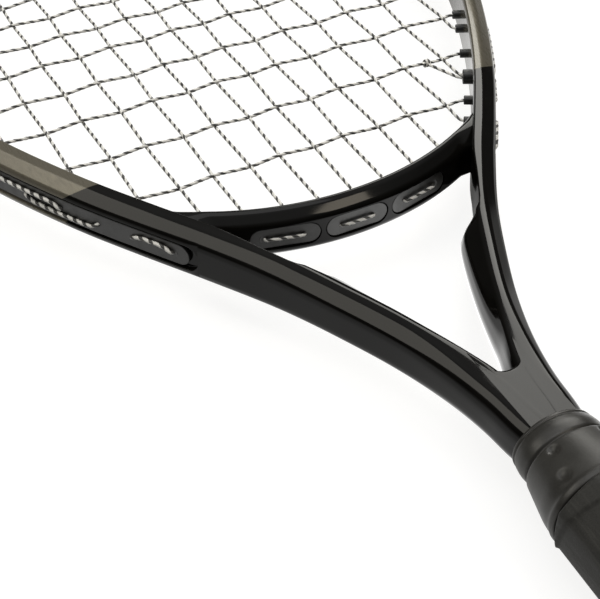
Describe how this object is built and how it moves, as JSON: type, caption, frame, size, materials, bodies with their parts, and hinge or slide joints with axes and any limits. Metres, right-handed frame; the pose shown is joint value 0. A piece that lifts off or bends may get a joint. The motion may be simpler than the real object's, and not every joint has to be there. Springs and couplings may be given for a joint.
{
  "type": "crossminton racket",
  "caption": "Strung crossminton racket with an egg-shaped grooved hoop, open V throat closed by a curved bridge, woven string bed, grommet strips, rubber collar and a wrapped grip.",
  "frame": {"origin": "centre of the butt cap's end face", "axes": "+Y runs from the butt to the head's tip, +Z is square to the string bed, +X is across the head; the racket is alike on both sides of the YZ plane"},
  "size_m": [0.2296, 0.592, 0.0324],
  "materials": {
    "frame_lacquer": "black lacquered carbon composite with a taupe head section, high gloss",
    "grommet_nylon": "black moulded nylon, satin",
    "string": "twisted black and white synthetic string, 1.1 mm",
    "handle_foam": "moulded foam, matt",
    "grip_wrap": "dark grey tacky polyurethane tape, matt",
    "collar_rubber": "dark grey elastic rubber, satin",
    "cap_plastic": "black moulded plastic, satin"
  },
  "bodies": {
    "root": {"frame": "frame_lacquer", "throat_bridge": "frame_lacquer", "side_strip_right": "grommet_nylon", "head_guard": "grommet_nylon", "side_strip_left": "grommet_nylon", "throat_grommet_left": "grommet_nylon", "throat_grommet_centre": "grommet_nylon", "throat_grommet_right": "grommet_nylon", "main_string": "string", "cross_string": "string", "tie_knot_main_left": "string", "tie_knot_main_right": "string", "tie_knot_cross_low": "string", "tie_knot_cross_high": "string", "pallet_upper": "handle_foam", "pallet_lower": "handle_foam", "grip_wrap": "grip_wrap", "grip_collar": "collar_rubber", "butt_cap": "cap_plastic", "butt_door": "cap_plastic"}
  },
  "joints": []
}
